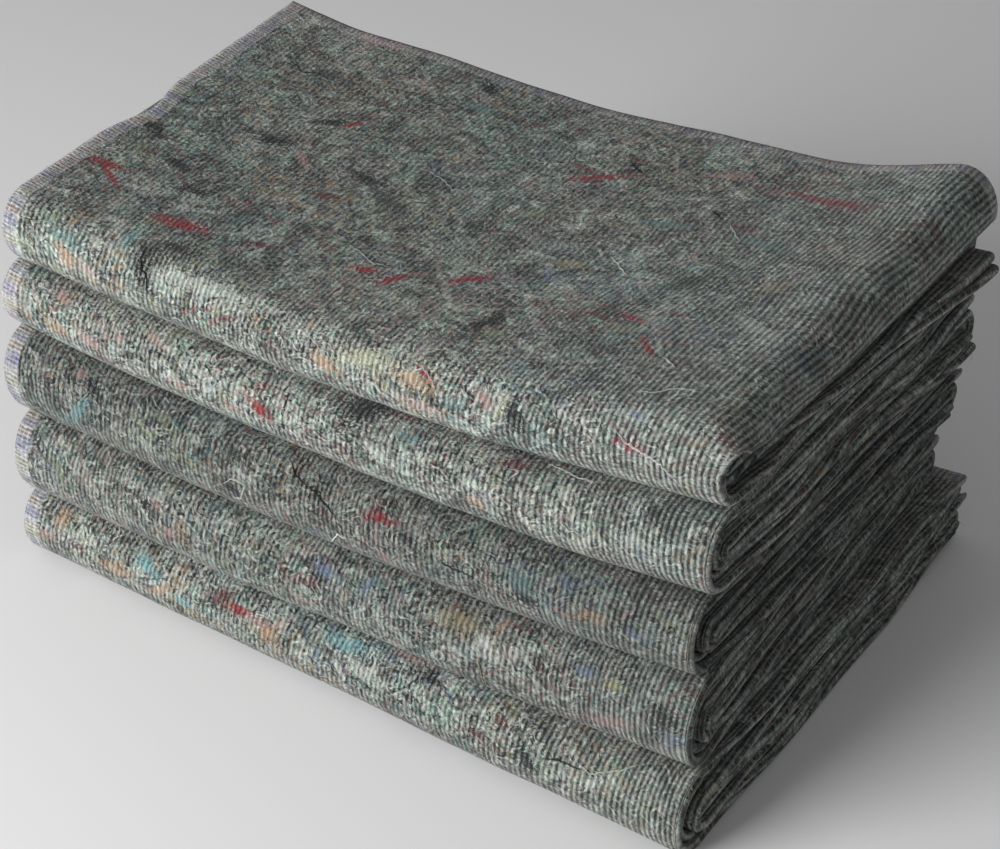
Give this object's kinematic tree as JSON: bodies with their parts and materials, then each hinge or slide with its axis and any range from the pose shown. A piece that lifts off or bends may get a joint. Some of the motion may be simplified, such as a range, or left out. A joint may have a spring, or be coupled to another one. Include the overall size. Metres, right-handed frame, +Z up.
{
  "type": "stack of folded moving blankets",
  "caption": "Stack of grey stitch-bonded felt moving blankets, each folded into a thick pad with a round front fold and lying flat on the next.",
  "frame": {"origin": "on the floor, at the middle of the stack's outline seen from above", "axes": "+X along the round front folds, to the right as seen from the front; +Y from the front folds to the back; +Z up"},
  "size_m": [0.536, 0.3944, 0.2743],
  "materials": {
    "felt_1": "matte",
    "felt_2": "matte",
    "felt_3": "matte",
    "felt_4": "matte",
    "felt_5": "matte",
    "edge_thread": "matte"
  },
  "bodies": {
    "root": {"blanket_1": "felt_1", "blanket_2": "felt_2", "blanket_3": "felt_3", "blanket_4": "felt_4", "blanket_5": "felt_5"}
  },
  "joints": []
}
